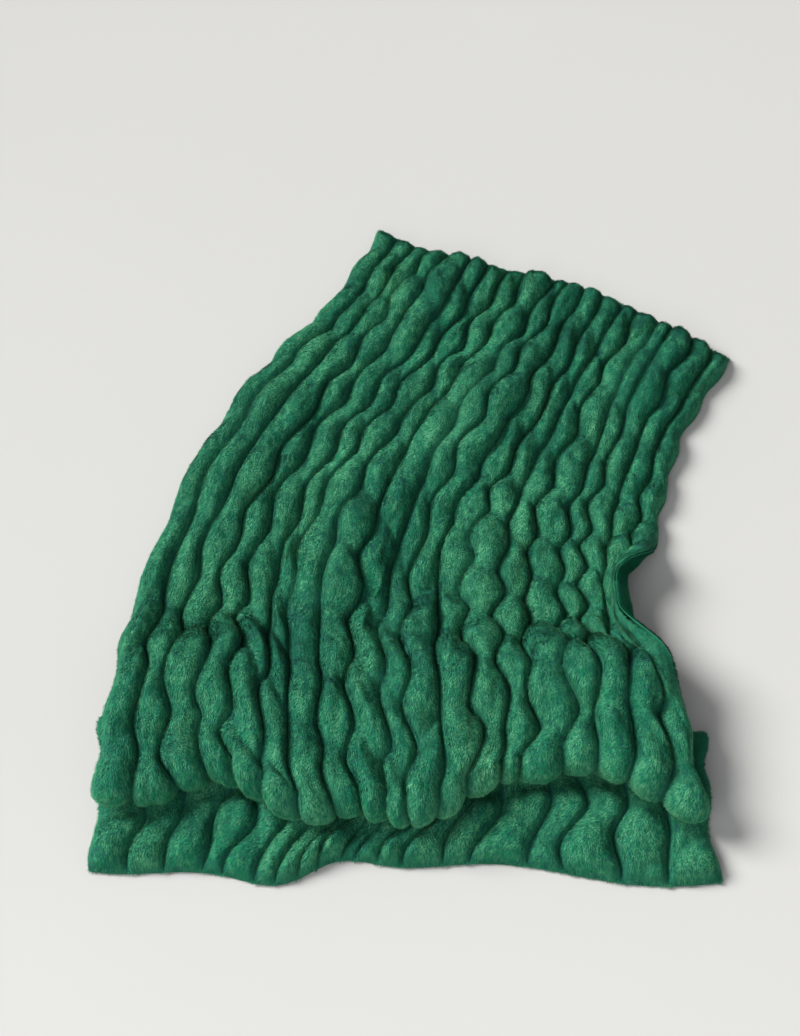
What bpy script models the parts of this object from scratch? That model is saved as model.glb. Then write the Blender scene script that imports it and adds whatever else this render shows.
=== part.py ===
"""Ruched plush throw laid out on the floor: its near hem folded back and forth, its right edge turned up.

Metres, +Z up. The ribs run away along +Y from the near hem. The origin is on the floor, under the
middle of the throw. The throw is worked out in cloth coordinates first, across (a) and along (s) the
flat cloth, and each point is then laid on the floor by one function, so both of its layers follow the
same folds.
"""

import math

import bmesh
import bpy
import numpy as np

# Cloth
RIBS = 19
RIB_PITCH = 0.0625
LENGTH = 2.00
PUFF_LENGTH = 0.165
PUFF_HEIGHT = 0.034
BACKING_THICKNESS = 0.003
PIECE_GAP = 0.0003
VALLEY_THICKNESS = 0.007

# Puffs: how a rib draws in where two of them meet, in width and in height, and how uneven they are
NECK_NARROWING = 0.09
NECK_HEIGHT = 0.60
NECK_ROUNDNESS = 0.70
NECK_SLANT = 0.30
SLANT_RANGE = (0.4, 1.5)
SLANTED_ALIKE = 0.8
CROWN_ROUNDNESS = 0.45
HEM_TAPER = 0.025
FIRST_PUFF = -1.5
SPARE_PUFFS = 4
STAGGER = 0.5
STAGGER_JITTER = 0.22
SPACING_JITTER = 0.18
WIDTH_JITTER = 0.08
HEIGHT_JITTER = 0.12
RIB_SEED = 7

# Ribs that stand proud of the rest or lie lower: number from the left, width and height against the others
PROUD_RIBS = (
    {"rib": 2, "width": 1.16, "height": 1.10},
    {"rib": 5, "width": 0.88, "height": 0.92},
    {"rib": 8, "width": 1.34, "height": 1.18},
    {"rib": 9, "width": 0.82, "height": 0.88},
    {"rib": 11, "width": 1.10, "height": 1.08},
    {"rib": 14, "width": 1.30, "height": 1.16},
    {"rib": 15, "width": 0.84, "height": 0.88},
    {"rib": 17, "width": 1.12, "height": 1.06},
)

# Width of the laid throw along its length, against the flat cloth
GATHER = (
    {"along": 0.00, "width": 0.97},
    {"along": 0.45, "width": 1.00},
    {"along": 0.95, "width": 0.95},
    {"along": 1.35, "width": 0.82},
    {"along": 1.70, "width": 0.76},
    {"along": 2.00, "width": 0.80},
)

# The far half swings to the right and the side edges wander
SWEEP_START = 0.35
SWEEP_END = 1.25
SWEEP_ANGLE = math.radians(27)
SWEEP_MARGIN = 0.2
PATH_STEP = 0.005
EDGE_WAVE = 0.012
EDGE_WAVE_ALONG = 4.6
EDGE_WAVE_ACROSS = 3.0
FAR_WAVE_LENGTH = 0.50

# Near hem, folded back and forth in three layers: radii of the underside's turns, length of the lip, overlap
INNER_TURN = 0.027
NOSE_TURN = 0.015
HEM_LENGTH = 0.270
OVERLAP = 0.120
FALL_START = 0.045
FALL_LENGTH = 0.30
EVEN_OUT = 0.90
HEM_SPREAD = 0.010
SHEAR_BEFORE = 0.05
SHEAR_AFTER = 0.07
LIP_SLANT = 0.085
LIP_SLANTED = 0.15

# Puffs pressed flat between the layers, in front of the nose and inside the inner turn
SQUEEZED = 0.33
TURN_SQUEEZED = 0.12
SQUEEZE_REACH = 0.075
SQUEEZE_EASE = 0.05
NOSE_FREED = 0.8
TURN_SPREAD = 0.75
TURN_MARGIN = 0.03

# Uneven sizes of the hems, as waves across the throw: which size, height, radians a metre and phase
WAVES = (
    {"of": "hem line", "height": 0.020, "pace": 7.3, "phase": 0.6},
    {"of": "hem line", "height": 0.012, "pace": 17.0, "phase": 2.0},
    {"of": "hem length", "height": 0.022, "pace": 6.1, "phase": -0.9},
    {"of": "overlap", "height": 0.040, "pace": 8.7, "phase": 1.4},
    {"of": "overlap", "height": 0.016, "pace": 23.0, "phase": 0.5},
    {"of": "nose", "height": 0.007, "pace": 17.0, "phase": 0.3},
    {"of": "shear", "height": 0.080, "pace": 5.2, "phase": 3.3},
    {"of": "far hem", "height": 0.028, "pace": 6.0, "phase": 1.0},
)

# Right edge, turned up and over along part of its length, which shows the plush reverse
CURL_WIDTH = 0.145
CURL_ANGLE = math.radians(158)
CURL_MIDDLE = 1.02
CURL_REACH = 0.36
CURL_EASE = 0.6
CURL_SQUEEZED = 0.45
FLAT_ANGLE = 1e-4

# Soft ridges and lifted places of the laid cloth: place, half length, half width and height, heading from +Y
SWELLS = (
    {"x": -0.15, "y": 0.66, "half_length": 0.40, "half_width": 0.110, "height": 0.040, "heading": 3},
    {"x": 0.17, "y": 0.68, "half_length": 0.36, "half_width": 0.105, "height": 0.036, "heading": -6},
    {"x": -0.42, "y": 0.95, "half_length": 0.36, "half_width": 0.105, "height": 0.034, "heading": 6},
    {"x": 0.03, "y": 1.18, "half_length": 0.36, "half_width": 0.120, "height": 0.047, "heading": 5},
    {"x": 0.33, "y": 1.44, "half_length": 0.26, "half_width": 0.110, "height": 0.039, "heading": 6},
    {"x": -0.24, "y": 1.42, "half_length": 0.30, "half_width": 0.115, "height": 0.043, "heading": 8},
    {"x": -0.38, "y": 0.42, "half_length": 0.20, "half_width": 0.120, "height": 0.040, "heading": 64},
    {"x": 0.40, "y": 0.38, "half_length": 0.20, "half_width": 0.120, "height": 0.042, "heading": 112},
)
SWELL_AFTER = 0.05
SWELL_EASE = 0.10

# Sampling: points across a rib and along a puff, ribs with all points underneath, rows in each part of the hem
ACROSS_RIB = 4
ALONG_PUFF = 4
CURL_RIBS = 4
HEM_ROWS = {"lip": 8, "inner turn": 4, "overlap": 3, "nose": 5, "fall": 9}
FALL_END = 0.86
UNDER_ROWS = 2
SLOPE_STEP = 0.0005

# Finish
PANEL_GREEN = (0.03, 0.16, 0.08)
BACKING_GREEN = (0.025, 0.13, 0.07)
PLUSH_ROUGHNESS = 0.9


def ease(t):
    """0 below 0, 1 above 1, smooth between."""
    t = np.clip(t, 0.0, 1.0)
    return t * t * (3.0 - 2.0 * t)


def hump(t):
    """1 at 0, falling smoothly to exactly 0 at -1 and 1."""
    return np.where(np.abs(t) < 1.0, 0.5 + 0.5 * np.cos(math.pi * np.clip(t, -1.0, 1.0)), 0.0)


def column(table, name):
    return np.array([row[name] for row in table])


def wave(size, a):
    """How far a size of the hems departs from its mean at a."""
    rows = [row for row in WAVES if row["of"] == size]
    return sum(row["height"] * np.sin(row["pace"] * a + row["phase"]) for row in rows)


def make_ribs():
    """For each rib: its width, height, slant, the places where its puffs meet and the height of each puff."""
    draw = np.random.default_rng(RIB_SEED)
    special = {row["rib"]: row for row in PROUD_RIBS}
    puffs = int(LENGTH / PUFF_LENGTH) + SPARE_PUFFS
    ribs = []
    for number in range(RIBS):
        row = special.get(number, {"width": 1.0, "height": 1.0})
        lengths = PUFF_LENGTH * (1.0 + SPACING_JITTER * draw.uniform(-1, 1, puffs))
        start = FIRST_PUFF + STAGGER * (number % 2) + STAGGER_JITTER * draw.uniform(-1, 1)
        ribs.append({
            "width": row["width"] * (1.0 + WIDTH_JITTER * draw.uniform(-1, 1)),
            "height": row["height"],
            "slant": NECK_SLANT * draw.uniform(*SLANT_RANGE) * (1 if draw.uniform() < SLANTED_ALIKE else -1),
            "meets": start * PUFF_LENGTH + np.concatenate(([0.0], np.cumsum(lengths))),
            "puffs": 1.0 + HEIGHT_JITTER * draw.uniform(-1, 1, puffs),
        })
    return ribs


def phase_of(rib, s):
    """Counts the puffs along a rib: whole numbers where two of them meet."""
    return np.interp(s, rib["meets"], np.arange(len(rib["meets"])))


def drawn_in(rib, t, s):
    """1 where a rib draws in and -1 where it bulges, at t from 0 to 1 across it: its necks are slanted."""
    return np.cos(2 * math.pi * (phase_of(rib, s) + rib["slant"] * (t - 0.5)))


def valley_places(ribs, s):
    """Where the valleys between ribs lie across the flat cloth at s, from the left edge to the right edge."""
    widths = [rib["width"] for rib in ribs]
    even = RIB_PITCH * np.concatenate(([0.0], np.cumsum(widths))) / np.mean(widths)
    left_sides = [drawn_in(rib, 0.0, s) for rib in ribs]
    right_sides = [drawn_in(rib, 1.0, s) for rib in ribs]
    free = np.zeros_like(s)
    push = np.array([right - left for left, right in zip([free] + right_sides, left_sides + [free])])
    shape = (-1,) + (1,) * np.ndim(s)
    return (even - even[-1] / 2).reshape(shape) + NECK_NARROWING * RIB_PITCH * push


def puff_height(rib, t, s):
    """Height of the puff above the valleys, t from 0 to 1 across its rib."""
    phase = phase_of(rib, s)
    middles = np.arange(len(rib["puffs"])) + 0.5
    size = rib["height"] * np.interp(phase, middles, rib["puffs"])
    round_over = np.clip(1.0 - (2.0 * t - 1.0) ** 2, 0.0, 1.0) ** CROWN_ROUNDNESS
    neck = np.abs(np.sin(math.pi * (phase + rib["slant"] * (t - 0.5)))) ** NECK_ROUNDNESS
    hem = np.sqrt(np.clip(np.minimum(s, LENGTH - s) / HEM_TAPER, 0.0, 1.0))
    return PUFF_HEIGHT * size * round_over * (NECK_HEIGHT + (1.0 - NECK_HEIGHT) * neck) * hem


def hem_sizes(a):
    """The uneven sizes of the folded hem at a: hem line, length to the inner turn, overlap and nose radius."""
    length, overlap = HEM_LENGTH + wave("hem length", a), OVERLAP + wave("overlap", a)
    return wave("hem line", a), length, overlap, NOSE_TURN + wave("nose", a)


def hem_marks(a):
    """Where the turns of the folded hem begin and end along the cloth."""
    _, length, overlap, nose = hem_sizes(a)
    inner_start = length
    inner_end = inner_start + math.pi * INNER_TURN
    nose_start = inner_end + overlap
    nose_end = nose_start + math.pi * nose
    return inner_start, inner_end, nose_start, nose_end


def fold_hem(a, s):
    """Distance from the hem line and height of the underside, folded back and forth near the hem."""
    hem_line, length, overlap, nose = hem_sizes(a)
    inner_start, inner_end, nose_start, nose_end = hem_marks(a)
    turn_y = hem_line + length
    nose_y = turn_y - overlap
    inner = np.clip((s - inner_start) / INNER_TURN, 0.0, math.pi)
    outer = np.clip((s - nose_start) / nose, 0.0, math.pi)
    beyond = s - nose_end
    top = 2 * INNER_TURN + 2 * nose
    fall = 1.0 - ease((beyond - overlap - FALL_START) / FALL_LENGTH)
    y = np.where(s < inner_start, hem_line + s, turn_y + INNER_TURN * np.sin(inner))
    z = INNER_TURN * (1.0 - np.cos(inner))
    back = s > inner_end
    y = np.where(back, turn_y - np.clip(s - inner_end, 0.0, overlap), y)
    over = s > nose_start
    y = np.where(over, nose_y - nose * np.sin(outer), y)
    z = np.where(over, 2 * INNER_TURN + nose * (1.0 - np.cos(outer)), z)
    away = s > nose_end
    taken = 2 * overlap + math.pi * nose - hem_line
    spare = taken - (2 * OVERLAP + math.pi * NOSE_TURN)
    y = np.where(away, nose_y + beyond + spare * ease(beyond / EVEN_OUT), y)
    z = np.where(away, top * fall, z)
    return y, z


def squeeze(a, s):
    """How much of a puff's height is left where layers of the folded hem or the turned edge press on it."""
    _, _, overlap, _ = hem_sizes(a)
    inner_start, inner_end, nose_start, nose_end = hem_marks(a)
    middle = (inner_start + inner_end) / 2
    pressed = ease((s - inner_start + overlap + SQUEEZE_REACH) / SQUEEZE_EASE)
    freed = ease((s - nose_start) / (NOSE_FREED * (nose_end - nose_start)))
    left = 1.0 - (1.0 - SQUEEZED) * pressed * (1.0 - freed)
    at_turn = hump((s - middle) / (TURN_SPREAD * (inner_end - inner_start) + TURN_MARGIN))
    left = left - (SQUEEZED - TURN_SQUEEZED) * at_turn
    in_curl = ease((CURL_WIDTH - (right_edge(s) - a)) / (CURL_EASE * CURL_WIDTH))
    curl = in_curl * hump((s - CURL_MIDDLE) / CURL_REACH)
    return left * (1.0 - (1.0 - CURL_SQUEEZED) * curl)


def right_edge(s):
    return valley_places(THROW, s)[-1]


def turn_edge(a, s):
    """Place across and height of the underside, with the right edge turned up and over."""
    angle = np.maximum(CURL_ANGLE * hump((s - CURL_MIDDLE) / CURL_REACH), FLAT_ANGLE)
    start = right_edge(s) - CURL_WIDTH
    radius = CURL_WIDTH / angle
    turned = angle * np.clip((a - start) / CURL_WIDTH, 0.0, None)
    x = np.where(a > start, start + radius * np.sin(turned), a)
    z = np.where(a > start, radius * (1.0 - np.cos(turned)), 0.0)
    return x, z


def swell(x, y):
    """Height of the soft ridges at a place of the laid cloth."""
    z = np.zeros_like(x)
    for row in SWELLS:
        heading = math.radians(row["heading"])
        dx, dy = x - row["x"], y - row["y"]
        along = dy * math.cos(heading) + dx * math.sin(heading)
        across = dx * math.cos(heading) - dy * math.sin(heading)
        z = z + row["height"] * hump(along / row["half_length"]) * hump(across / row["half_width"])
    return z


def sweep(x, y):
    """Turns the far half to the right."""
    steps = np.arange(-SWEEP_MARGIN, LENGTH + SWEEP_MARGIN, PATH_STEP)
    heading = SWEEP_ANGLE * ease((steps - SWEEP_START) / (SWEEP_END - SWEEP_START))
    middle_x = np.cumsum(np.sin(heading)) * PATH_STEP
    middle_y = steps[0] + np.cumsum(np.cos(heading)) * PATH_STEP
    turn = np.interp(y, steps, heading)
    return (
        np.interp(y, steps, middle_x) + x * np.cos(turn),
        np.interp(y, steps, middle_y) - x * np.sin(turn),
    )


def shear_hem(a, s):
    """How far the lower layers of the folded hem lie to one side, and its lip slants."""
    _, _, nose_start, nose_end = hem_marks(a)
    above = ease((s - nose_start + SHEAR_BEFORE) / (nose_end - nose_start + SHEAR_BEFORE + SHEAR_AFTER))
    slant = LIP_SLANT * np.cos(math.pi * a / (RIBS * RIB_PITCH)) * (1.0 - ease(s / LIP_SLANTED))
    return (1.0 - above) * (wave("shear", a) + HEM_SPREAD * a) - slant


def lay(a, s):
    """The place on the floor of a point of the throw's underside, a across and s along the flat cloth."""
    y, z = fold_hem(a, s)
    x, edge_z = turn_edge(a, s)
    x = x * np.interp(s, column(GATHER, "along"), column(GATHER, "width"))
    x = x + shear_hem(a, s) + EDGE_WAVE * np.sin(EDGE_WAVE_ALONG * s + EDGE_WAVE_ACROSS * a)
    y = y + wave("far hem", a) * ease((s - LENGTH + FAR_WAVE_LENGTH) / FAR_WAVE_LENGTH)
    _, _, _, nose_end = hem_marks(a)
    z = z + edge_z + swell(x, y) * ease((s - nose_end - SWELL_AFTER) / SWELL_EASE)
    x, y = sweep(x, y)
    return np.stack((x, y, z), axis=-1)


def lay_with_normals(a, s):
    place = lay(a, s)
    across = lay(a + SLOPE_STEP, s) - lay(a - SLOPE_STEP, s)
    along = lay(a, s + SLOPE_STEP) - lay(a, s - SLOPE_STEP)
    normal = np.cross(across, along)
    return place, normal / np.linalg.norm(normal, axis=-1, keepdims=True)


def row_places(a):
    """Rows along the cloth at a: they follow the turns of the folded hem, and are even beyond it."""
    marks = (0.0,) + tuple(hem_marks(a)) + (FALL_END,)
    parts = [start + (end - start) * np.arange(count) / count
             for start, end, count in zip(marks, marks[1:], HEM_ROWS.values())]
    rest = int(round((LENGTH - FALL_END) / (PUFF_LENGTH / ALONG_PUFF)))
    return np.concatenate(parts + [np.linspace(FALL_END, LENGTH, rest + 1)])


def cloth_grid(ribs):
    """Places across and along the cloth and height of the face, for each row and each point across the ribs."""
    widths = np.concatenate(([0.0], np.cumsum([rib["width"] for rib in ribs])))
    even = (widths / widths[-1] - 0.5) * RIBS * RIB_PITCH
    across, along, height = [], [], []
    for point in range(RIBS * ACROSS_RIB + 1):
        number = min(point // ACROSS_RIB, RIBS - 1)
        t = point / ACROSS_RIB - number
        rows = row_places(even[number] * (1 - t) + even[number + 1] * t)
        valleys = valley_places(ribs, rows)
        across.append(valleys[number] * (1 - t) + valleys[number + 1] * t)
        along.append(rows)
        height.append(puff_height(ribs[number], t, rows))
    return np.array(across).T, np.array(along).T, np.array(height).T


def sheet_solid(name, upper, lower, columns, rows, colour):
    """One closed solid between a fine upper surface and a lower one that has some of its columns and rows."""
    bm = bmesh.new()
    top = [[bm.verts.new(p) for p in line] for line in upper]
    low = {(r, c): bm.verts.new(lower[r][c]) for r in rows for c in columns}
    last_row, last_column = len(top) - 1, len(top[0]) - 1
    for r in range(last_row):
        for c in range(last_column):
            bm.faces.new((top[r][c], top[r][c + 1], top[r + 1][c + 1], top[r + 1][c]))
    for r, r2 in zip(rows, rows[1:]):
        for c, c2 in zip(columns, columns[1:]):
            bm.faces.new((low[r, c], low[r2, c], low[r2, c2], low[r, c2]))
    for c, c2 in zip(columns, columns[1:]):
        between = range(c, c2 + 1)
        bm.faces.new([low[0, c], low[0, c2]] + [top[0][k] for k in reversed(between)])
        bm.faces.new([low[last_row, c2], low[last_row, c]] + [top[last_row][k] for k in between])
    for r, r2 in zip(rows, rows[1:]):
        between = range(r, r2 + 1)
        bm.faces.new([low[r2, 0], low[r, 0]] + [top[k][0] for k in between])
        right = [top[k][last_column] for k in reversed(between)]
        bm.faces.new([low[r, last_column], low[r2, last_column]] + right)
    bmesh.ops.triangulate(bm, faces=bm.faces[:])
    bmesh.ops.recalc_face_normals(bm, faces=bm.faces[:])
    mesh = bpy.data.meshes.new(name)
    bm.to_mesh(mesh)
    bm.free()
    mesh.materials.append(plush(name, colour))
    mesh.shade_smooth()
    made = bpy.data.objects.new(name, mesh)
    bpy.context.scene.collection.objects.link(made)
    return made


def plush(name, colour):
    material = bpy.data.materials.new(name + "_plush")
    material.use_nodes = True
    shader = material.node_tree.nodes["Principled BSDF"]
    shader.inputs["Base Color"].default_value = (*colour, 1.0)
    shader.inputs["Roughness"].default_value = PLUSH_ROUGHNESS
    shader.inputs["Metallic"].default_value = 0.0
    return material


def centred(surfaces):
    """Moves the surfaces so that their box stands on the floor with its middle at the origin."""
    every = np.concatenate([s.reshape(-1, 3) for s in surfaces])
    low, high = every.min(axis=0), every.max(axis=0)
    middle = np.array(((low[0] + high[0]) / 2, (low[1] + high[1]) / 2, 0.0))
    return [s - middle for s in surfaces]


THROW = make_ribs()


def main():
    for old in list(bpy.data.objects):
        bpy.data.objects.remove(old, do_unlink=True)

    across, along, height = cloth_grid(THROW)
    under, normal = lay_with_normals(across, along)
    puffed = height * squeeze(across, along)
    joint = BACKING_THICKNESS * normal
    panel_low = under + joint + PIECE_GAP * normal
    panel_top = panel_low + (VALLEY_THICKNESS + puffed)[..., None] * normal
    under, backing_top, panel_low, panel_top = centred([under, under + joint, panel_low, panel_top])

    last_row, last_column = across.shape[0] - 1, across.shape[1] - 1
    in_curl = last_column - CURL_RIBS * ACROSS_RIB
    columns = [c for c in range(last_column + 1) if c % ACROSS_RIB == 0 or c > in_curl]
    rows = [r for r in range(last_row + 1) if r < sum(HEM_ROWS.values()) or (last_row - r) % UNDER_ROWS == 0]

    sheet_solid("ruched_panel", panel_top, panel_low, columns, rows, PANEL_GREEN)
    coarse = np.ix_(rows, columns)
    narrow, short = list(range(len(columns))), list(range(len(rows)))
    sheet_solid("plush_backing", backing_top[coarse], under[coarse], narrow, short, BACKING_GREEN)


main()
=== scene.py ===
"""Looks of a ruched plush throw laid out on the floor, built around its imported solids.

The throw is worked out in cloth coordinates, across (a) and along (s) the flat cloth, in metres. Each
point is then laid on the floor by the same functions that shape the solids, on a finer grid.
"""

import math

import bpy
import numpy as np
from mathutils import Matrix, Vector


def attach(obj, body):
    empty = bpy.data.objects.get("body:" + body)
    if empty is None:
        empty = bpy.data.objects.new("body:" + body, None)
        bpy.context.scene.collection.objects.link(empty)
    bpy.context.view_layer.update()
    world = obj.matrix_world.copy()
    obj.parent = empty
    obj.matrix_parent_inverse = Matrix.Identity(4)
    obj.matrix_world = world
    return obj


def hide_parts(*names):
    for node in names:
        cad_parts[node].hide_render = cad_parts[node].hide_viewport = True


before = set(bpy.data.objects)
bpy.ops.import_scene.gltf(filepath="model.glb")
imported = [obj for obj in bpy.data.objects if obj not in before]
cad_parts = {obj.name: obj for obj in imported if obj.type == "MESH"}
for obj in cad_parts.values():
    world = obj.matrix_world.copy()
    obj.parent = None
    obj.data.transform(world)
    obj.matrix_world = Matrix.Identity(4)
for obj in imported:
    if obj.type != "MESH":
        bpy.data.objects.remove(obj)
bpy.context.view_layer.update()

bl_info = {
    "name": "Ruched plush throw",
    "version": (1, 0, 0),
    "blender": (4, 5, 0),
    "location": "View3D > Sidebar > Throw",
    "description": "Builds a ruched plush throw with its pile, its plush reverse and a plain stage",
    "category": "Object",
}

# Cloth
RIBS = 19
RIB_PITCH = 0.0625
LENGTH = 2.00
PUFF_LENGTH = 0.165
PUFF_HEIGHT = 0.034
BACKING_THICKNESS = 0.003
PIECE_GAP = 0.0003
VALLEY_THICKNESS = 0.007

# Puffs: how a rib draws in where two of them meet, in width and in height, and how uneven they are
NECK_NARROWING = 0.09
NECK_HEIGHT = 0.60
NECK_ROUNDNESS = 0.70
NECK_SLANT = 0.30
SLANT_RANGE = (0.4, 1.5)
SLANTED_ALIKE = 0.8
CROWN_ROUNDNESS = 0.45
HEM_TAPER = 0.025
FIRST_PUFF = -1.5
SPARE_PUFFS = 4
STAGGER = 0.5
STAGGER_JITTER = 0.22
SPACING_JITTER = 0.18
WIDTH_JITTER = 0.08
HEIGHT_JITTER = 0.12
RIB_SEED = 7

# Ribs that stand proud of the rest or lie lower: number from the left, width and height against the others
PROUD_RIBS = (
    {"rib": 2, "width": 1.16, "height": 1.10},
    {"rib": 5, "width": 0.88, "height": 0.92},
    {"rib": 8, "width": 1.34, "height": 1.18},
    {"rib": 9, "width": 0.82, "height": 0.88},
    {"rib": 11, "width": 1.10, "height": 1.08},
    {"rib": 14, "width": 1.30, "height": 1.16},
    {"rib": 15, "width": 0.84, "height": 0.88},
    {"rib": 17, "width": 1.12, "height": 1.06},
)

# Width of the laid throw along its length, against the flat cloth
GATHER = (
    {"along": 0.00, "width": 0.97},
    {"along": 0.45, "width": 1.00},
    {"along": 0.95, "width": 0.95},
    {"along": 1.35, "width": 0.82},
    {"along": 1.70, "width": 0.76},
    {"along": 2.00, "width": 0.80},
)

# The far half swings to the right and the side edges wander
SWEEP_START = 0.35
SWEEP_END = 1.25
SWEEP_ANGLE = math.radians(27)
SWEEP_MARGIN = 0.2
PATH_STEP = 0.005
EDGE_WAVE = 0.012
EDGE_WAVE_ALONG = 4.6
EDGE_WAVE_ACROSS = 3.0
FAR_WAVE_LENGTH = 0.50

# Near hem, folded back and forth in three layers: radii of the underside's turns, length of the lip,
# overlap, how the cloth falls behind them, and how far the layers lie to one side
INNER_TURN = 0.027
NOSE_TURN = 0.015
HEM_LENGTH = 0.270
OVERLAP = 0.120
FALL_START = 0.045
FALL_LENGTH = 0.30
EVEN_OUT = 0.90
HEM_SPREAD = 0.010
SHEAR_BEFORE = 0.05
SHEAR_AFTER = 0.07
LIP_SLANT = 0.085
LIP_SLANTED = 0.15

# Puffs pressed flat between the layers, in front of the nose and inside the inner turn
SQUEEZED = 0.33
TURN_SQUEEZED = 0.12
SQUEEZE_REACH = 0.075
SQUEEZE_EASE = 0.05
NOSE_FREED = 0.8
TURN_SPREAD = 0.75
TURN_MARGIN = 0.03

# Uneven sizes of the hems, as waves across the throw: which size, height, radians a metre and phase
WAVES = (
    {"of": "hem line", "height": 0.020, "pace": 7.3, "phase": 0.6},
    {"of": "hem line", "height": 0.012, "pace": 17.0, "phase": 2.0},
    {"of": "hem length", "height": 0.022, "pace": 6.1, "phase": -0.9},
    {"of": "overlap", "height": 0.040, "pace": 8.7, "phase": 1.4},
    {"of": "overlap", "height": 0.016, "pace": 23.0, "phase": 0.5},
    {"of": "nose", "height": 0.007, "pace": 17.0, "phase": 0.3},
    {"of": "shear", "height": 0.080, "pace": 5.2, "phase": 3.3},
    {"of": "far hem", "height": 0.028, "pace": 6.0, "phase": 1.0},
)

# Right edge, turned up and over along part of its length, which shows the plush reverse
CURL_WIDTH = 0.145
CURL_ANGLE = math.radians(158)
CURL_MIDDLE = 1.02
CURL_REACH = 0.36
CURL_EASE = 0.6
CURL_SQUEEZED = 0.45
FLAT_ANGLE = 1e-4

# Soft ridges and lifted places of the laid cloth: place, half length, half width and height, and heading
# in degrees from +Y
SWELLS = (
    {"x": -0.15, "y": 0.66, "half_length": 0.40, "half_width": 0.110, "height": 0.040, "heading": 3},
    {"x": 0.17, "y": 0.68, "half_length": 0.36, "half_width": 0.105, "height": 0.036, "heading": -6},
    {"x": -0.42, "y": 0.95, "half_length": 0.36, "half_width": 0.105, "height": 0.034, "heading": 6},
    {"x": 0.03, "y": 1.18, "half_length": 0.36, "half_width": 0.120, "height": 0.047, "heading": 5},
    {"x": 0.33, "y": 1.44, "half_length": 0.26, "half_width": 0.110, "height": 0.039, "heading": 6},
    {"x": -0.24, "y": 1.42, "half_length": 0.30, "half_width": 0.115, "height": 0.043, "heading": 8},
    {"x": -0.38, "y": 0.42, "half_length": 0.20, "half_width": 0.120, "height": 0.040, "heading": 64},
    {"x": 0.40, "y": 0.38, "half_length": 0.20, "half_width": 0.120, "height": 0.042, "heading": 112},
)
SWELL_AFTER = 0.05
SWELL_EASE = 0.10

# Sampling: points across a rib, rows in each part of the folded hem, where the last one ends and the step
# between the rows beyond
SOLID_GRID = {"across": 4, "rows": (8, 4, 3, 5, 9), "fall_end": 0.86, "step": PUFF_LENGTH / 4}
FACE_GRID = {"across": 10, "rows": (24, 8, 10, 18, 40), "fall_end": 0.86, "step": 0.0090}
REVERSE_GRID = {"across": 5, "rows": (12, 7, 7, 12, 26), "fall_end": 0.86, "step": 0.0150}
SLOPE_STEP = 0.0005

# Soft random fields: the length of their waves and the seed of each
NOISE_WAVES = 9
NOISE_PACES = (0.6, 1.5)
NOISES = {
    "puckers": {"size": 0.045, "seed": 5},
    "dents": {"size": 0.060, "seed": 41},
    "creases": {"size": 0.022, "seed": 42},
    "lie of the pile": {"size": 0.16, "seed": 21},
    "tilt of the pile": {"size": 0.05, "seed": 22},
    "length of the pile": {"size": 0.02, "seed": 23},
    "mottled reverse": {"size": 0.012, "seed": 31},
}

# The face's fabric under the pile, with soft dents and small creases in its puffs. It lies FACE_DROP below
# the solid's face, so that the pile ends close to that face
FABRIC_THICKNESS = 0.0035
FACE_DROP = 0.0025
DENT_DEPTH = 0.0042
DENT_STRETCH = 0.7
CREASE_DEPTH = 0.0018

# The plush reverse, with shallow puckers from a little above the floor
REVERSE_THICKNESS = 0.0026
PUCKER_DEPTH = 0.0050
PUCKER_STRETCH = 0.35
PUCKER_START = 0.004
PUCKER_EASE = 0.02

# Where the pile grows: more of it at the rim, none between the hem's layers, little under the throw
FACE_PILE_MESHES = 4
BLADES_IN_MESH = 168000
REVERSE_BLADES = 70000
PILE_SEED = 11
REVERSE_PILE_SEED = 20
RIM_WIDTH = 0.016
RIM_EXTRA = 1.6
# RIM_CROWN and CROWN_AT shape the crown mask of the painted highlight and painted shade on the pile
RIM_CROWN = 0.55
CROWN_AT = 0.85
HIDDEN_AFTER = 0.03
HIDDEN_BEFORE = 0.005
LIFT_START = 0.002
LIFT_EASE = 0.01
CURL_SHOWN = 1.15
SHOWN_EDGE = 0.035
AT_SIDE_SHARE = 0.4
HIDDEN_SHARE = 0.01
MOTTLED_LIGHT = 0.6
MOTTLED_CHANGE = 0.4

# Blades of pile: how they lie, tilt and vary, as radians, metres or shares of their own size
LIE_CHANGE = 0.5
TILT_STRAY = 0.5
TILT_CHANGE = 0.16
LEAST_TILT = 0.15
MOST_TILT = 1.35
RIM_PULL = 2.5
RIM_DROOP = 0.75
DROOPS = (0.2, 1.0)
LENGTHS = (0.65, 1.15)
LENGTH_CHANGE = 0.15
WIDTHS = (0.7, 1.25)
SPIN_STRAY = 0.4
ROOT_DEPTH = 0.0006
LIT_LEAN = 0.25
LIT_STRAY = 0.10
TONE = 0.50
TONE_STRAY = 0.18
FLOOR_CLEARANCE = 0.0003
BLADE_IN_CELL = ((0.05, 0.05), (0.95, 0.05), (0.50, 0.95))

# The reverse's pile as shares of the face's pile, and its darkest and lightest green as shares of its own
REVERSE_PILE = {"width": 0.8, "lean": 0.7, "stray": 2.0}
# Its darkest green is painted shade at the short pile's roots, and the dark end of its random mottle
REVERSE_DEEP = 0.6
REVERSE_LIGHT = 1.6

# Finish of the cloth: how it shines, and the fibrous grain of each fabric
CLOTH_ROUGHNESS = 0.85
CLOTH_SHINE = 0.15
SHEEN_ROUGHNESS = 0.50
FACE_PILE_SHEEN = 0.20
REVERSE_PILE_SHEEN = 0.15
GRAIN_DETAIL = 4.0
GRAIN_STRENGTH = 0.8
FACE_FABRIC = {"sheen": 0.20, "grain_scale": 700.0, "grain_depth": 0.0008}
REVERSE_FABRIC = {"sheen": 0.15, "grain_scale": 420.0, "grain_depth": 0.0012}

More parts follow.
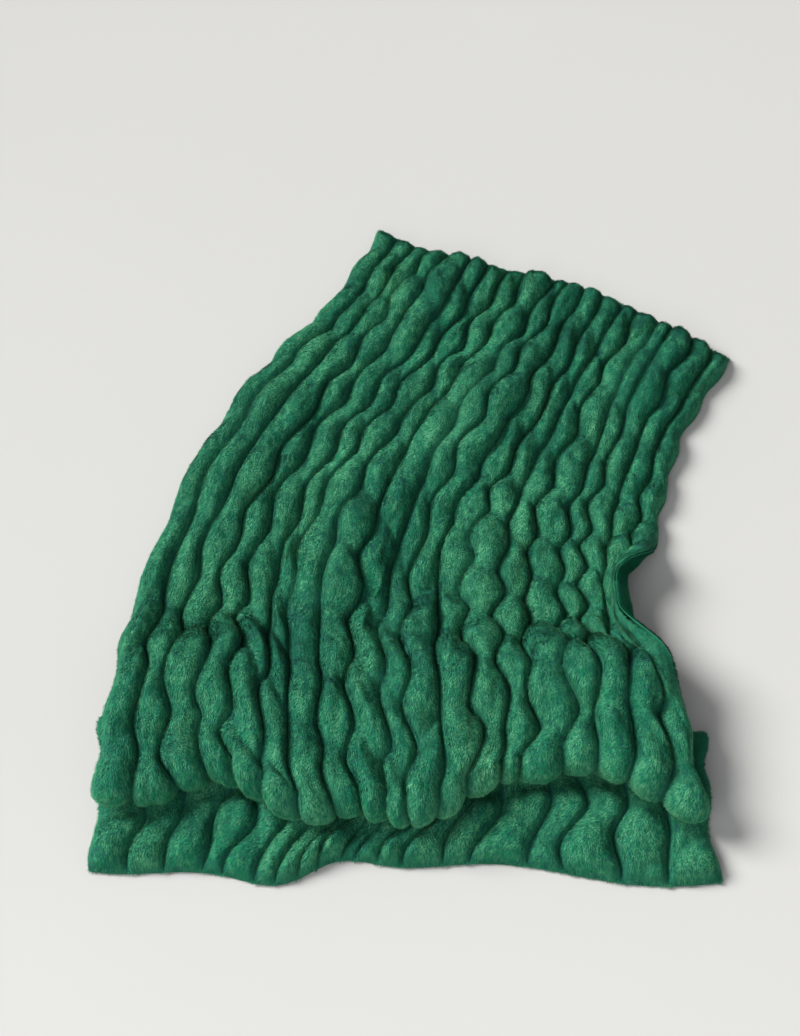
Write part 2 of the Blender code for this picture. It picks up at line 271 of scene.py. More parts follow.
# Brushed nap: its patches and streaks, how they stretch along the throw, and what is dark and light in it
NAP_PATCHES = {"input": "Patch scale", "scale": 9.0, "detail": 3.0, "share": 0.45}
NAP_STREAKS = {"input": "Streak scale", "scale": 90.0, "detail": 2.0, "share": 0.55}
NAP_STRETCH = (1.0, 0.45, 0.8)
NAP_DARK = 0.42
NAP_LIGHT = 0.72

# Painted shade in a blade's green: how far up it is full, and how much is left at the root and in the
# valleys
FULL_GREEN_AT = 0.5
GREEN_IN_ROOT_SHADE = 0.55
VALLEY_GREEN = 0.25

# Stage
FLOOR_SIDES = 96
FLOOR_RADIUS = 40.0
FLOOR_DROP = 0.0005
FLOOR_MOTTLE = {"scale": 0.8, "detail": 5.0, "darkest": 0.96}
SKY_COLOUR = (0.94, 0.95, 0.97)
SKY_FADE = (0.02, 0.50)
LIGHTS = (
    {"name": "key", "kind": "SUN", "size": 0.50, "place": (-4.8, 1.2, 4.1), "colour": (1.0, 0.985, 0.96)},
    {"name": "fill", "kind": "AREA", "size": 3.2, "place": (-1.6, -4.4, 3.4), "colour": (0.96, 0.98, 1.0)},
)


def ease(t):
    """0 below 0, 1 above 1, smooth between."""
    t = np.clip(t, 0.0, 1.0)
    return t * t * (3.0 - 2.0 * t)


def hump(t):
    """1 at 0, falling smoothly to exactly 0 at -1 and 1."""
    return np.where(np.abs(t) < 1.0, 0.5 + 0.5 * np.cos(math.pi * np.clip(t, -1.0, 1.0)), 0.0)


def column(table, name):
    return np.array([row[name] for row in table])


def wave(size, a):
    """How far a size of the hems departs from its mean at a."""
    rows = [row for row in WAVES if row["of"] == size]
    return sum(row["height"] * np.sin(row["pace"] * a + row["phase"]) for row in rows)


def make_ribs():
    """For each rib: its width, height and slant, the places where its puffs meet, and their heights."""
    draw = np.random.default_rng(RIB_SEED)
    special = {row["rib"]: row for row in PROUD_RIBS}
    puffs = int(LENGTH / PUFF_LENGTH) + SPARE_PUFFS
    ribs = []
    for number in range(RIBS):
        row = special.get(number, {"width": 1.0, "height": 1.0})
        lengths = PUFF_LENGTH * (1.0 + SPACING_JITTER * draw.uniform(-1, 1, puffs))
        start = FIRST_PUFF + STAGGER * (number % 2) + STAGGER_JITTER * draw.uniform(-1, 1)
        width = row["width"] * (1.0 + WIDTH_JITTER * draw.uniform(-1, 1))
        slant = NECK_SLANT * draw.uniform(*SLANT_RANGE)
        ribs.append({
            "width": width,
            "height": row["height"],
            "slant": slant * (1 if draw.uniform() < SLANTED_ALIKE else -1),
            "meets": start * PUFF_LENGTH + np.concatenate(([0.0], np.cumsum(lengths))),
            "puffs": 1.0 + HEIGHT_JITTER * draw.uniform(-1, 1, puffs),
        })
    return ribs


def phase_of(rib, s):
    """Counts the puffs along a rib: whole numbers where two of them meet."""
    return np.interp(s, rib["meets"], np.arange(len(rib["meets"])))


def drawn_in(rib, t, s):
    """1 where a rib draws in and -1 where it bulges, at t from 0 to 1 across it: its necks are slanted."""
    return np.cos(2 * math.pi * (phase_of(rib, s) + rib["slant"] * (t - 0.5)))


def valley_places(ribs, s):
    """Where the valleys between ribs lie across the flat cloth at s, from left edge to right edge."""
    widths = [rib["width"] for rib in ribs]
    even = RIB_PITCH * np.concatenate(([0.0], np.cumsum(widths))) / np.mean(widths)
    left_sides = [drawn_in(rib, 0.0, s) for rib in ribs]
    right_sides = [drawn_in(rib, 1.0, s) for rib in ribs]
    free = np.zeros_like(s)
    push = np.array([right - left for left, right in zip([free] + right_sides, left_sides + [free])])
    shape = (-1,) + (1,) * np.ndim(s)
    return (even - even[-1] / 2).reshape(shape) + NECK_NARROWING * RIB_PITCH * push


def puff_height(rib, t, s):
    """Height of the puff above the valleys, t from 0 to 1 across its rib."""
    phase = phase_of(rib, s)
    middles = np.arange(len(rib["puffs"])) + 0.5
    size = rib["height"] * np.interp(phase, middles, rib["puffs"])
    round_over = np.clip(1.0 - (2.0 * t - 1.0) ** 2, 0.0, 1.0) ** CROWN_ROUNDNESS
    neck = np.abs(np.sin(math.pi * (phase + rib["slant"] * (t - 0.5)))) ** NECK_ROUNDNESS
    hem = np.sqrt(np.clip(np.minimum(s, LENGTH - s) / HEM_TAPER, 0.0, 1.0))
    return PUFF_HEIGHT * size * round_over * (NECK_HEIGHT + (1.0 - NECK_HEIGHT) * neck) * hem


def hem_sizes(a):
    """The sizes of the folded hem at a: hem line, length to the inner turn, overlap and nose radius."""
    length, overlap = HEM_LENGTH + wave("hem length", a), OVERLAP + wave("overlap", a)
    return wave("hem line", a), length, overlap, NOSE_TURN + wave("nose", a)


def hem_marks(a):
    """Where the turns of the folded hem begin and end along the cloth."""
    _, length, overlap, nose = hem_sizes(a)
    inner_start = length
    inner_end = inner_start + math.pi * INNER_TURN
    nose_start = inner_end + overlap
    nose_end = nose_start + math.pi * nose
    return inner_start, inner_end, nose_start, nose_end


def fold_hem(a, s):
    """Distance from the hem line and height of the underside, folded back and forth near the hem."""
    hem_line, length, overlap, nose = hem_sizes(a)
    inner_start, inner_end, nose_start, nose_end = hem_marks(a)
    turn_y = hem_line + length
    nose_y = turn_y - overlap
    inner = np.clip((s - inner_start) / INNER_TURN, 0.0, math.pi)
    outer = np.clip((s - nose_start) / nose, 0.0, math.pi)
    beyond = s - nose_end
    top = 2 * INNER_TURN + 2 * nose
    fall = 1.0 - ease((beyond - overlap - FALL_START) / FALL_LENGTH)
    y = np.where(s < inner_start, hem_line + s, turn_y + INNER_TURN * np.sin(inner))
    z = INNER_TURN * (1.0 - np.cos(inner))
    back = s > inner_end
    y = np.where(back, turn_y - np.clip(s - inner_end, 0.0, overlap), y)
    over = s > nose_start
    y = np.where(over, nose_y - nose * np.sin(outer), y)
    z = np.where(over, 2 * INNER_TURN + nose * (1.0 - np.cos(outer)), z)
    away = s > nose_end
    taken = 2 * overlap + math.pi * nose - hem_line
    spare = taken - (2 * OVERLAP + math.pi * NOSE_TURN)
    y = np.where(away, nose_y + beyond + spare * ease(beyond / EVEN_OUT), y)
    z = np.where(away, top * fall, z)
    return y, z


def squeeze(a, s):
    """How much of a puff's height is left where the folded hem's layers or the turned edge press on it."""
    _, _, overlap, _ = hem_sizes(a)
    inner_start, inner_end, nose_start, nose_end = hem_marks(a)
    middle = (inner_start + inner_end) / 2
    pressed = ease((s - inner_start + overlap + SQUEEZE_REACH) / SQUEEZE_EASE)
    freed = ease((s - nose_start) / (NOSE_FREED * (nose_end - nose_start)))
    left = 1.0 - (1.0 - SQUEEZED) * pressed * (1.0 - freed)
    at_turn = hump((s - middle) / (TURN_SPREAD * (inner_end - inner_start) + TURN_MARGIN))
    left = left - (SQUEEZED - TURN_SQUEEZED) * at_turn
    in_curl = ease((CURL_WIDTH - (right_edge(s) - a)) / (CURL_EASE * CURL_WIDTH))
    curl = in_curl * hump((s - CURL_MIDDLE) / CURL_REACH)
    return left * (1.0 - (1.0 - CURL_SQUEEZED) * curl)


def right_edge(s):
    return valley_places(THROW, s)[-1]


def turn_edge(a, s):
    """Place across and height of the underside, with the right edge turned up and over."""
    angle = np.maximum(CURL_ANGLE * hump((s - CURL_MIDDLE) / CURL_REACH), FLAT_ANGLE)
    start = right_edge(s) - CURL_WIDTH
    radius = CURL_WIDTH / angle
    turned = angle * np.clip((a - start) / CURL_WIDTH, 0.0, None)
    x = np.where(a > start, start + radius * np.sin(turned), a)
    z = np.where(a > start, radius * (1.0 - np.cos(turned)), 0.0)
    return x, z


def swell(x, y):
    """Height of the soft ridges at a place of the laid cloth."""
    z = np.zeros_like(x)
    for row in SWELLS:
        heading = math.radians(row["heading"])
        dx, dy = x - row["x"], y - row["y"]
        along = dy * math.cos(heading) + dx * math.sin(heading)
        across = dx * math.cos(heading) - dy * math.sin(heading)
        z = z + row["height"] * hump(along / row["half_length"]) * hump(across / row["half_width"])
    return z


def sweep(x, y):
    """Turns the far half to the right."""
    steps = np.arange(-SWEEP_MARGIN, LENGTH + SWEEP_MARGIN, PATH_STEP)
    heading = SWEEP_ANGLE * ease((steps - SWEEP_START) / (SWEEP_END - SWEEP_START))
    middle_x = np.cumsum(np.sin(heading)) * PATH_STEP
    middle_y = steps[0] + np.cumsum(np.cos(heading)) * PATH_STEP
    turn = np.interp(y, steps, heading)
    return (
        np.interp(y, steps, middle_x) + x * np.cos(turn),
        np.interp(y, steps, middle_y) - x * np.sin(turn),
    )


def shear_hem(a, s):
    """How far the lower layers of the folded hem lie to one side, and its lip slants."""
    _, _, nose_start, nose_end = hem_marks(a)
    above = ease((s - nose_start + SHEAR_BEFORE) / (nose_end - nose_start + SHEAR_BEFORE + SHEAR_AFTER))
    slant = LIP_SLANT * np.cos(math.pi * a / (RIBS * RIB_PITCH)) * (1.0 - ease(s / LIP_SLANTED))
    return (1.0 - above) * (wave("shear", a) + HEM_SPREAD * a) - slant


def lay(a, s):
    """The place on the floor of a point of the throw's underside, a across and s along the flat cloth."""
    y, z = fold_hem(a, s)
    x, edge_z = turn_edge(a, s)
    x = x * np.interp(s, column(GATHER, "along"), column(GATHER, "width"))
    x = x + shear_hem(a, s) + EDGE_WAVE * np.sin(EDGE_WAVE_ALONG * s + EDGE_WAVE_ACROSS * a)
    y = y + wave("far hem", a) * ease((s - LENGTH + FAR_WAVE_LENGTH) / FAR_WAVE_LENGTH)
    _, _, _, nose_end = hem_marks(a)
    z = z + edge_z + swell(x, y) * ease((s - nose_end - SWELL_AFTER) / SWELL_EASE)
    x, y = sweep(x, y)
    return np.stack((x, y, z), axis=-1)


def unit(v):
    return v / np.maximum(np.linalg.norm(v, axis=-1, keepdims=True), 1e-12)


def lay_with_normals(a, s):
    place = lay(a, s)
    across = lay(a + SLOPE_STEP, s) - lay(a - SLOPE_STEP, s)
    along = lay(a, s + SLOPE_STEP) - lay(a, s - SLOPE_STEP)
    return place, unit(np.cross(across, along))


def row_places(a, grid):
    """Rows along the cloth at a: they follow the turns of the folded hem, and are even beyond it."""
    marks = (0.0,) + tuple(hem_marks(a)) + (grid["fall_end"],)
    parts = [
        start + (end - start) * np.arange(count) / count
        for start, end, count in zip(marks, marks[1:], grid["rows"])
    ]
    rest = int(round((LENGTH - grid["fall_end"]) / grid["step"]))
    return np.concatenate(parts + [np.linspace(grid["fall_end"], LENGTH, rest + 1)])


def cloth_grid(ribs, grid):
    """Places across and along the cloth and heights of the face: rows along it, points across the ribs."""
    widths = np.concatenate(([0.0], np.cumsum([rib["width"] for rib in ribs])))
    even = (widths / widths[-1] - 0.5) * RIBS * RIB_PITCH
    across, along, height = [], [], []
    for point in range(RIBS * grid["across"] + 1):
        number = min(point // grid["across"], RIBS - 1)
        t = point / grid["across"] - number
        rows = row_places(even[number] * (1 - t) + even[number + 1] * t, grid)
        valleys = valley_places(ribs, rows)
        across.append(valleys[number] * (1 - t) + valleys[number + 1] * t)
        along.append(rows)
        height.append(puff_height(ribs[number], t, rows))
    return np.array(across).T, np.array(along).T, np.array(height).T


def solid_middle():
    """Where the solids' origin lies before they are moved to it."""
    across, along, height = cloth_grid(THROW, SOLID_GRID)
    under, normal = lay_with_normals(across, along)
    lift = BACKING_THICKNESS + PIECE_GAP + VALLEY_THICKNESS + height * squeeze(across, along)
    heights = (0.0, BACKING_THICKNESS, BACKING_THICKNESS + PIECE_GAP, lift[..., None])
    every = np.concatenate([(under + h * normal).reshape(-1, 3) for h in heights])
    low, high = every.min(axis=0), every.max(axis=0)
    return np.array(((low[0] + high[0]) / 2, (low[1] + high[1]) / 2, 0.0))


THROW = make_ribs()
MIDDLE = solid_middle()


def smooth_noise(points, name):
    """One of the soft random fields, mostly from -1 to 1, as a sum of waves."""
    row = NOISES[name]
    draw = np.random.default_rng(row["seed"])
    total = np.zeros(points.shape[:-1])
    for _ in range(NOISE_WAVES):
        way = unit(draw.normal(size=3))
        pace = draw.uniform(*NOISE_PACES)
        phase = draw.uniform(0, 2 * math.pi)
        total += np.sin(points @ way * (2 * math.pi / row["size"]) * pace + phase)
    return total / (NOISE_WAVES / 2)


def grid_normals(place):
    """Normals of a grid of places, each from its neighbours."""
    return unit(np.cross(np.gradient(place, axis=1), np.gradient(place, axis=0)))


def face_surface():
    """The face's fabric under the pile: places, normals, cloth coordinates and heights on its fine grid."""
    across, along, height = cloth_grid(THROW, FACE_GRID)
    under, normal = lay_with_normals(across, along)
    squeezed = height * squeeze(across, along)
    cloth = np.stack((across, along * DENT_STRETCH, np.zeros_like(across)), axis=-1)
    dents = DENT_DEPTH * smooth_noise(cloth, "dents") + CREASE_DEPTH * smooth_noise(cloth, "creases")
    squeezed = squeezed * (1.0 + dents / PUFF_HEIGHT)
    lift = BACKING_THICKNESS + PIECE_GAP + VALLEY_THICKNESS - FACE_DROP + squeezed
    place = under - MIDDLE + lift[..., None] * normal
    return place, grid_normals(place), across, along, height


def reverse_surface():
    """The outer side of the plush reverse, puckered where it lifts off the floor."""
    across, along, _ = cloth_grid(THROW, REVERSE_GRID)
    under, normal = lay_with_normals(across, along)
    cloth = np.stack((across, along * PUCKER_STRETCH, np.zeros_like(across)), axis=-1)
    pucker = 0.5 + 0.5 * smooth_noise(cloth, "puckers")
    lifted = ease((under[..., 2] - PUCKER_START) / PUCKER_EASE)
    place = under - MIDDLE - (PUCKER_DEPTH * pucker * lifted)[..., None] * normal
    return place, grid_normals(place), across, along


def deselect():
    if bpy.context.object and bpy.context.object.mode != "OBJECT":
        bpy.ops.object.mode_set(mode="OBJECT")
    bpy.ops.object.select_all(action="DESELECT")


def sheet_from_grid(name, place, thickness, outward):
    """A grid primitive whose points are moved to the places, given its thickness inwards."""
    rows, columns = place.shape[:2]
    deselect()
    bpy.ops.mesh.primitive_grid_add(x_subdivisions=columns - 1, y_subdivisions=rows - 1, size=1.0)
    piece = bpy.context.object
    piece.name = piece.data.name = name
    mesh = piece.data
    if len(mesh.vertices) != rows * columns:
        raise RuntimeError(f"{name}: the grid has {len(mesh.vertices)} points and not {rows * columns}")
    flat = np.empty(rows * columns * 3, np.float32)
    mesh.vertices.foreach_get("co", flat)
    flat = flat.reshape(-1, 3)
    across = np.rint((flat[:, 0] + 0.5) * (columns - 1)).astype(int)
    along = np.rint((flat[:, 1] + 0.5) * (rows - 1)).astype(int)
    mesh.vertices.foreach_set("co", place[along, across].astype(np.float32).ravel())
    mesh.update()
    if not outward:
        mesh.flip_normals()
    solid = piece.modifiers.new("Thickness", "SOLIDIFY")
    solid.thickness = thickness
    solid.offset = -1.0
    solid.use_rim = True
    bpy.ops.object.modifier_apply(modifier=solid.name)
    piece.data.shade_smooth()
    return piece


def blade_mesh(name, root, tip, side, normal, shade, crown):
    """One mesh of flat pointed blades, each a triangle facing outwards, lit by the given normals."""
    count = len(root)
    corners = np.stack((root + side, root - side, tip), axis=1).reshape(-1, 3)
    corners[:, 2] = np.maximum(corners[:, 2], FLOOR_CLEARANCE)
    mesh = bpy.data.meshes.new(name)
    mesh.vertices.add(3 * count)
    mesh.vertices.foreach_set("co", corners.astype(np.float32).ravel())
    mesh.loops.add(3 * count)
    mesh.loops.foreach_set("vertex_index", np.arange(3 * count, dtype=np.int32))
    mesh.polygons.add(count)
    mesh.polygons.foreach_set("loop_start", np.arange(0, 3 * count, 3, dtype=np.int32))
    mesh.update()
    mesh.shade_smooth()
    height = mesh.attributes.new("height", "FLOAT", "POINT")
    height.data.foreach_set("value", np.tile(np.array((0.0, 0.0, 1.0), np.float32), count))
    tone = mesh.attributes.new("tone", "FLOAT", "POINT")
    tone.data.foreach_set("value", np.repeat(shade, 3).astype(np.float32))
    # crown: mask of the painted highlight on the crowns and painted shade in the valleys (on the reverse, a
    # mottle)
    relief = mesh.attributes.new("crown", "FLOAT", "POINT")
    relief.data.foreach_set("value", np.repeat(crown, 3).astype(np.float32))
    layer = mesh.uv_layers.new(name="OFBake")
    side_cells = math.ceil(math.sqrt(count))
    cell = np.stack(np.divmod(np.arange(count), side_cells)[::-1], axis=1)
    uv = (cell[:, None, :] + np.array(BLADE_IN_CELL)) / side_cells
    layer.uv.foreach_set("vector", uv.astype(np.float32).ravel())
    mesh.normals_split_custom_set_from_vertices(np.repeat(normal, 3, axis=0).astype(np.float32))
    piece = bpy.data.objects.new(name, mesh)
    bpy.context.scene.collection.objects.link(piece)
    return piece


def pick_places(place, normal, wanted, count, draw):
    """Random places on a grid, as many for its area as wanted says.

    Gives a function that reads any values of the grid there, and the normal and both ways of the cloth.
    """
    share = 0.25 * (wanted[:-1, :-1] + wanted[1:, :-1] + wanted[:-1, 1:] + wanted[1:, 1:])
    one, two = place[1:, 1:] - place[:-1, :-1], place[1:, :-1] - place[:-1, 1:]
    area = 0.5 * np.linalg.norm(np.cross(one, two), axis=-1) * share
    total = np.cumsum(area.ravel())
    pick = (np.arange(count) + draw.uniform(size=count)) / count * total[-1]
    index = np.minimum(np.searchsorted(total, pick), len(total) - 1)
    row, col = np.divmod(index, area.shape[1])
    u, v = draw.uniform(size=(2, count))

    def blend(values):
        right, up = (u[:, None], v[:, None]) if values.ndim == 3 else (u, v)
        low = values[row, col] * (1 - right) + values[row, col + 1] * right
        high = values[row + 1, col] * (1 - right) + values[row + 1, col + 1] * right
        return low * (1 - up) + high * up

    across = unit(place[row, col + 1] - place[row, col])
    along = unit(place[row + 1, col] - place[row, col])
    return blend, unit(blend(normal)), across, along


class ThrowPile(bpy.types.PropertyGroup):
    length: bpy.props.FloatProperty(
        name="Length", description="Length of a blade of the face's pile",
        default=0.0092, unit="LENGTH")
    width: bpy.props.FloatProperty(
        name="Width", description="Width of a blade at its root",
        default=0.0019, unit="LENGTH")
    lean: bpy.props.FloatProperty(
        name="Lean", description="How far the pile leans over",
        default=math.radians(70), subtype="ANGLE")
    stray: bpy.props.FloatProperty(
        name="Stray", description="How far single blades stray from the lie of the pile",
        default=0.20, min=0.0)
    reverse_length: bpy.props.FloatProperty(
        name="Reverse length", description="Length of a blade of the reverse's pile",
        default=0.0065, unit="LENGTH")


class ThrowColours(bpy.types.PropertyGroup):
    # Painted shade: the dark green of the pile's roots and valleys, also the dark end of the fabric's mottle
    shade_and_mottle: bpy.props.FloatVectorProperty(
        name="Deep", description="Green at the roots of the pile",
        size=3, subtype="COLOR", default=(0.012, 0.075, 0.065))
    body: bpy.props.FloatVectorProperty(
        name="Body", description="Green of the pile",
        size=3, subtype="COLOR", default=(0.008, 0.198, 0.088))
    # Painted highlight: the lighter green of the pile on the puffs' crowns, where the nap is brushed up
    light: bpy.props.FloatVectorProperty(
        name="Light", description="Green of the tips that catch the light",
        size=3, subtype="COLOR", default=(0.250, 0.640, 0.350))
    reverse: bpy.props.FloatVectorProperty(
        name="Reverse", description="Green of the smooth plush",
        size=3, subtype="COLOR", default=(0.014, 0.175, 0.094))
    floor: bpy.props.FloatVectorProperty(
        name="Floor", description="Pale floor",
        size=3, subtype="COLOR", default=(0.545, 0.545, 0.530))


class ThrowStage(bpy.types.PropertyGroup):
    elevation: bpy.props.FloatProperty(
        name="Elevation", description="Camera's angle above the floor",
        default=math.radians(52), subtype="ANGLE")
    lens: bpy.props.FloatProperty(
        name="Lens", description="Focal length of the camera",
        default=62.0, unit="CAMERA")
    distance: bpy.props.FloatProperty(
        name="Distance", description="Camera's distance from what it looks at",
        default=3.86, unit="LENGTH")
    aim: bpy.props.FloatVectorProperty(
        name="Aim", description="Point that the camera looks at",
        size=3, subtype="TRANSLATION", default=(-0.087, -0.034, 0.03))
    key: bpy.props.FloatProperty(
        name="Key", description="Strength of the soft daylight", default=4.9)
    fill: bpy.props.FloatProperty(
        name="Fill", description="Power of the weak light",
        default=105.0, unit="POWER")
    sky: bpy.props.FloatProperty(
        name="Sky", description="Strength of the light from above", default=0.27)
    horizon: bpy.props.FloatProperty(
        name="Horizon", description="Strength of the light from all round", default=0.80)


def new_material(name):
    material = bpy.data.materials.new(name)
    material.use_nodes = True
    nodes, links = material.node_tree.nodes, material.node_tree.links
    return material, nodes, links, nodes["Principled BSDF"]


def nap_group():
    """Soft patches and streaks where the nap is brushed, from dark (0) to light (1)."""
    found = bpy.data.node_groups.get("Brushed nap")
    if found:
        return found
    group = bpy.data.node_groups.new("Brushed nap", "ShaderNodeTree")
    for row in (NAP_PATCHES, NAP_STREAKS):
        socket = group.interface.new_socket(row["input"], in_out="INPUT", socket_type="NodeSocketFloat")
        socket.default_value = row["scale"]
    group.interface.new_socket("Nap", in_out="OUTPUT", socket_type="NodeSocketFloat")
    nodes, links = group.nodes, group.links
    entry, leave = nodes.new("NodeGroupInput"), nodes.new("NodeGroupOutput")
    place = nodes.new("ShaderNodeTexCoord")
    stretch = nodes.new("ShaderNodeMapping")
    stretch.inputs["Scale"].default_value = NAP_STRETCH
    links.new(place.outputs["Object"], stretch.inputs["Vector"])
    patches, streaks = nodes.new("ShaderNodeTexNoise"), nodes.new("ShaderNodeTexNoise")
    for noise, row in ((patches, NAP_PATCHES), (streaks, NAP_STREAKS)):
        noise.inputs["Detail"].default_value = row["detail"]
        links.new(entry.outputs[row["input"]], noise.inputs["Scale"])
        links.new(stretch.outputs["Vector"], noise.inputs["Vector"])
    both = nodes.new("ShaderNodeMath")
    both.operation = "MULTIPLY_ADD"
    both.inputs[1].default_value = NAP_STREAKS["share"]
    links.new(streaks.outputs["Fac"], both.inputs[0])
    part = nodes.new("ShaderNodeMath")
    part.operation = "MULTIPLY"
    part.inputs[1].default_value = NAP_PATCHES["share"]
    links.new(patches.outputs["Fac"], part.inputs[0])
    links.new(part.outputs[0], both.inputs[2])
    widen = nodes.new("ShaderNodeMapRange")
    widen.inputs["From Min"].default_value = NAP_DARK
    widen.inputs["From Max"].default_value = NAP_LIGHT
    links.new(both.outputs[0], widen.inputs["Value"])
    links.new(widen.outputs["Result"], leave.inputs["Nap"])
    return group


def mix_colours(nodes, links, factor, one, two):
    """A colour mix node; one and two are colours or sockets, factor is a socket or a number."""
    mix = nodes.new("ShaderNodeMix")
    mix.data_type = "RGBA"
    for socket, value in ((mix.inputs["Factor"], factor), (mix.inputs["A"], one), (mix.inputs["B"], two)):
        if hasattr(value, "links"):
            links.new(value, socket)
        elif hasattr(value, "__len__"):
            socket.default_value = (*value, 1.0)
        else:
            socket.default_value = value
    return mix.outputs["Result"]


def cloth_sheen(shader, tint, weight):
    shader.inputs["Roughness"].default_value = CLOTH_ROUGHNESS
    shader.inputs["Specular IOR Level"].default_value = CLOTH_SHINE
    shader.inputs["Sheen Weight"].default_value = weight
    shader.inputs["Sheen Roughness"].default_value = SHEEN_ROUGHNESS
    shader.inputs["Sheen Tint"].default_value = (*tint, 1.0)


def pile_material(name, shade_and_mottle, body, light, sheen):
    """Blades of pile: the body's green, with painted shade at the roots and painted light over the puffs.

    Painted shade darkens the pile down in the valleys and a painted highlight lightens it on the crowns
    where the nap is brushed up; on the reverse, a random mottle takes the place of the crowns. A blade seen
    from behind is lit by the same normal as from its front.
    """
    material, nodes, links, shader = new_material(name)
    nap = nodes.new("ShaderNodeGroup")
    nap.node_tree = nap_group()
    height, tone = nodes.new("ShaderNodeAttribute"), nodes.new("ShaderNodeAttribute")
    height.attribute_name, tone.attribute_name = "height", "tone"
    crown = nodes.new("ShaderNodeAttribute")
    crown.attribute_name = "crown"
    # Painted highlight: light green on the crowns where the nap is brushed up; on the reverse, a random
    # mottle
    highlight_and_mottle_mask = nodes.new("ShaderNodeMath")
    highlight_and_mottle_mask.operation = "MULTIPLY"
    links.new(nap.outputs["Nap"], highlight_and_mottle_mask.inputs[0])
    links.new(crown.outputs["Fac"], highlight_and_mottle_mask.inputs[1])
    lit = mix_colours(nodes, links, highlight_and_mottle_mask.outputs[0], body, light)
    toned = mix_colours(nodes, links, tone.outputs["Fac"], body, lit)
    # Painted shade: each blade darkens towards the deep green at its root
    root_shade_mask = nodes.new("ShaderNodeMapRange")
    root_shade_mask.inputs["From Max"].default_value = FULL_GREEN_AT
    root_shade_mask.inputs["To Min"].default_value = GREEN_IN_ROOT_SHADE
    links.new(height.outputs["Fac"], root_shade_mask.inputs["Value"])
    grown = mix_colours(nodes, links, root_shade_mask.outputs["Result"], shade_and_mottle, toned)
    # Painted shade: the pile darkens towards the deep green down in the valleys; on the reverse, a random
    # mottle
    valley_shade_and_mottle_mask = nodes.new("ShaderNodeMapRange")
    valley_shade_and_mottle_mask.inputs["To Min"].default_value = VALLEY_GREEN
    links.new(crown.outputs["Fac"], valley_shade_and_mottle_mask.inputs["Value"])
    colour = mix_colours(nodes, links, valley_shade_and_mottle_mask.outputs["Result"], shade_and_mottle, grown)
    links.new(colour, shader.inputs["Base Color"])
    geometry = nodes.new("ShaderNodeNewGeometry")
    facing = nodes.new("ShaderNodeMath")
    facing.operation = "MULTIPLY_ADD"
    facing.inputs[1].default_value = -2.0
    facing.inputs[2].default_value = 1.0
    outward = nodes.new("ShaderNodeVectorMath")
    outward.operation = "SCALE"
    links.new(geometry.outputs["Backfacing"], facing.inputs[0])
    links.new(geometry.outputs["Normal"], outward.inputs[0])
    links.new(facing.outputs[0], outward.inputs["Scale"])
    links.new(outward.outputs[0], shader.inputs["Normal"])
    cloth_sheen(shader, light, sheen)
    return material


def fabric_material(name, shade_and_mottle, body, sheen, grain_scale, grain_depth):
    """The fabric under the pile, or the short smooth plush: mottled green with a fine fibrous grain."""
    material, nodes, links, shader = new_material(name)
    nap = nodes.new("ShaderNodeGroup")
    nap.node_tree = nap_group()
    links.new(mix_colours(nodes, links, nap.outputs["Nap"], shade_and_mottle, body), shader.inputs["Base Color"])
    place = nodes.new("ShaderNodeTexCoord")
    grain = nodes.new("ShaderNodeTexNoise")
    grain.inputs["Scale"].default_value = grain_scale
    grain.inputs["Detail"].default_value = GRAIN_DETAIL
    links.new(place.outputs["Object"], grain.inputs["Vector"])
    bump = nodes.new("ShaderNodeBump")
    bump.inputs["Distance"].default_value = grain_depth
    bump.inputs["Strength"].default_value = GRAIN_STRENGTH
    links.new(grain.outputs["Fac"], bump.inputs["Height"])
    links.new(bump.outputs["Normal"], shader.inputs["Normal"])
    cloth_sheen(shader, body, sheen)
    return material


class THROW_OT_reverse(bpy.types.Operator):
    """Adds the smooth plush reverse, with shallow puckers where it lifts off the floor"""
    bl_idname = "throw.reverse"
    bl_label = "Plush reverse"

    def execute(self, context):
        colours = context.scene.throw_colours
        place, _, _, _ = reverse_surface()
        piece = sheet_from_grid("plush_reverse", place, REVERSE_THICKNESS, outward=False)
        shade_and_mottle = [REVERSE_DEEP * c for c in colours.reverse]
        piece.data.materials.append(fabric_material("Smooth plush", shade_and_mottle, colours.reverse, **REVERSE_FABRIC))
        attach(piece, "root")
        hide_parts("plush_backing")
        return {"FINISHED"}


class THROW_OT_face(bpy.types.Operator):
    """Adds the ruched face: the fabric of the puffs, under the pile"""
    bl_idname = "throw.face"
    bl_label = "Ruched face"

    def execute(self, context):
        colours = context.scene.throw_colours
        place, _, _, _, _ = face_surface()
        piece = sheet_from_grid("ruched_face", place, FABRIC_THICKNESS, outward=True)
        # Painted shade under the pile: the fabric is mottled from the deep shade green up to the body's
        # green
        piece.data.materials.append(fabric_material(
            "Fabric under the pile", colours.shade_and_mottle, colours.body, **FACE_FABRIC))
        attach(piece, "root")
        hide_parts("ruched_panel")
        return {"FINISHED"}


def rim_way(across, along):
    """Which way the rim lies at each point of the grid, across and along, 0 beyond RIM_WIDTH of it."""
    left, right = across - across[:, :1], across[:, -1:] - across
    near, far = along, LENGTH - along
    sides = [1.0 - ease(distance / RIM_WIDTH) for distance in (left, right, near, far)]
    return np.stack((sides[1] - sides[0], sides[3] - sides[2]), axis=-1)


